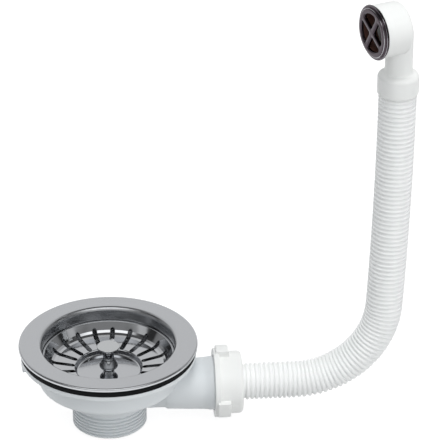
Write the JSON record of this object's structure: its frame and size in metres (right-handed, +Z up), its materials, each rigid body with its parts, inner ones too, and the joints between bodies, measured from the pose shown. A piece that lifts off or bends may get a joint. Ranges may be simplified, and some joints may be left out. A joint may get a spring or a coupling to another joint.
{
  "type": "sink basket strainer waste",
  "caption": "Sink basket strainer waste with a flanged steel bowl, a lift-up slotted basket plug, a white plastic outlet body and a corrugated overflow hose with an elbow and rose.",
  "frame": {"origin": "centre of the plane where the sink is clamped, between the washer above the sink and the washer below it, on the waste's own axis", "axes": "+Z up along the waste's axis, out of the sink; +X along the overflow branch, towards the hose; +Y completes the right-handed frame, away from the picture's camera"},
  "size_m": [0.2499, 0.114, 0.289],
  "materials": {
    "steel": "polished pressed stainless steel",
    "chrome": "bright chrome on a turned knob",
    "dark_chrome": "chrome-plated plastic, reflecting a dark room",
    "white_plastic": "moulded white polypropylene, satin",
    "hose_plastic": "corrugated white polyethylene, satin",
    "rubber": "black moulded rubber, matt",
    "brass": "turned brass"
  },
  "bodies": {
    "waste": {"strainer_bowl": "steel", "rim_seal": "rubber", "body_seal": "rubber", "waste_body": "white_plastic", "thread_insert": "brass", "clamp_screw": "brass", "screw_washer": "steel", "branch_washer": "rubber", "union_nut": "white_plastic", "overflow_hose": "hose_plastic", "overflow_elbow": "white_plastic", "overflow_seal": "rubber", "overflow_rose": "dark_chrome"},
    "basket": {"basket": "steel", "knob": "chrome", "basket_pin": "steel", "plug_seal": "rubber", "plug_plate": "steel", "pin_nut": "steel", "spring_sleeve": "white_plastic"}
  },
  "joints": [
    {"name": "basket_lift", "type": "slide", "parent": "waste", "child": "basket", "axis": [0, 0, 1], "range_m": [0, 0.006]}
  ]
}
